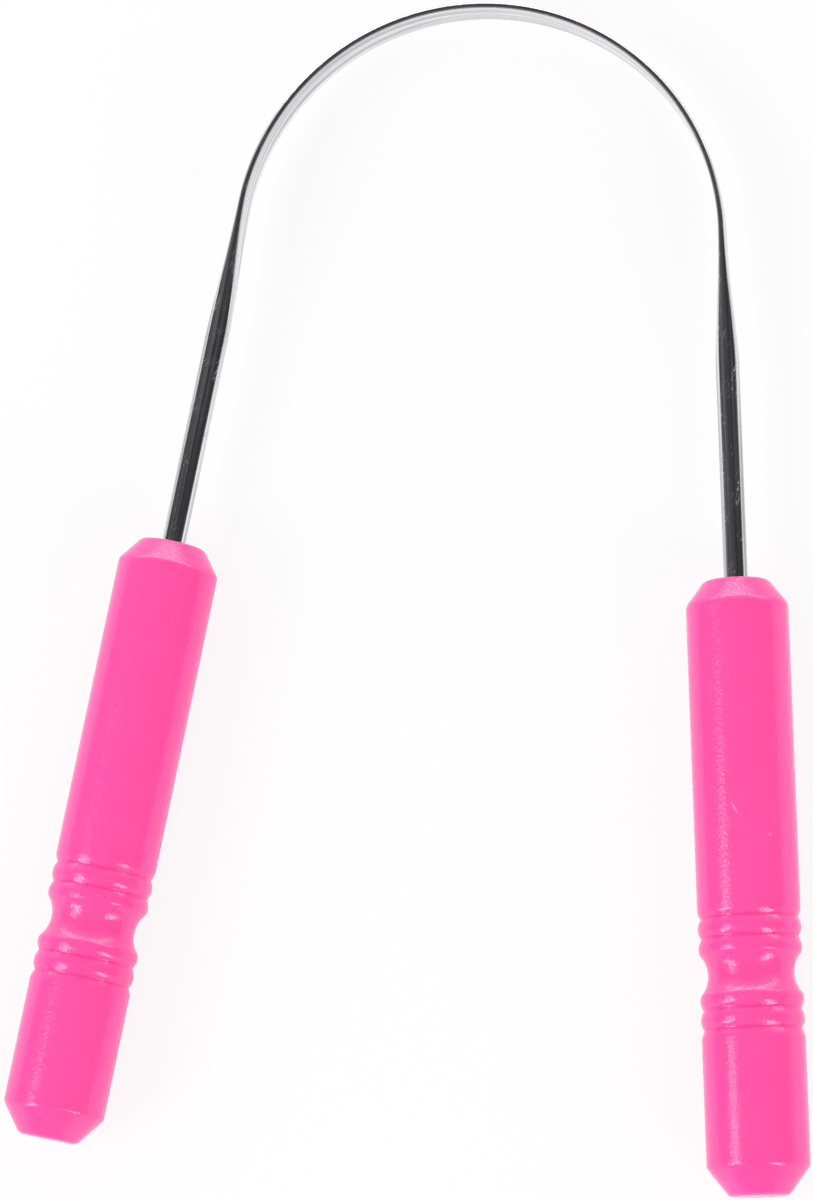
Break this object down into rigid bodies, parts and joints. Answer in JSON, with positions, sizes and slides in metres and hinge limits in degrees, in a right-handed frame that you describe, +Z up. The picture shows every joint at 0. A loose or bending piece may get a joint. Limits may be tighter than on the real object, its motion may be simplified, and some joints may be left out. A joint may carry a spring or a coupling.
{
  "type": "tongue scraper",
  "caption": "U-shaped steel tongue scraper: a rod flattened to a thin springy band at the crown, with a ringed moulded handle on each end.",
  "frame": {"origin": "under the middle of the whole, on the surface that the two handles lie on", "axes": "+Y from the handles' free ends towards the crown of the bow, +Z up from the surface, the bow's plane is parallel to XY"},
  "size_m": [0.0948, 0.1396, 0.012],
  "materials": {
    "bow_steel": "drawn and lightly polished stainless steel with fine lengthwise lines",
    "handle_plastic": "satin moulded plastic, hot pink right through"
  },
  "bodies": {
    "crown": {"crown_band": "bow_steel"},
    "left_side": {"left_bow_arm": "bow_steel", "left_handle": "handle_plastic"},
    "right_side": {"right_bow_arm": "bow_steel", "right_handle": "handle_plastic"}
  },
  "joints": [
    {"name": "left_flex", "type": "hinge", "parent": "crown", "child": "left_side", "pos_m": [-0.01929, 0.0621, 0.006], "axis": [0, 0, 1], "range_deg": [-10, 15.5], "stiffness_Nm_per_rad": 0.93},
    {"name": "right_flex", "type": "hinge", "parent": "crown", "child": "right_side", "pos_m": [0.01929, 0.0621, 0.006], "axis": [0, 0, -1], "range_deg": [-10, 15.5], "stiffness_Nm_per_rad": 0.93}
  ]
}
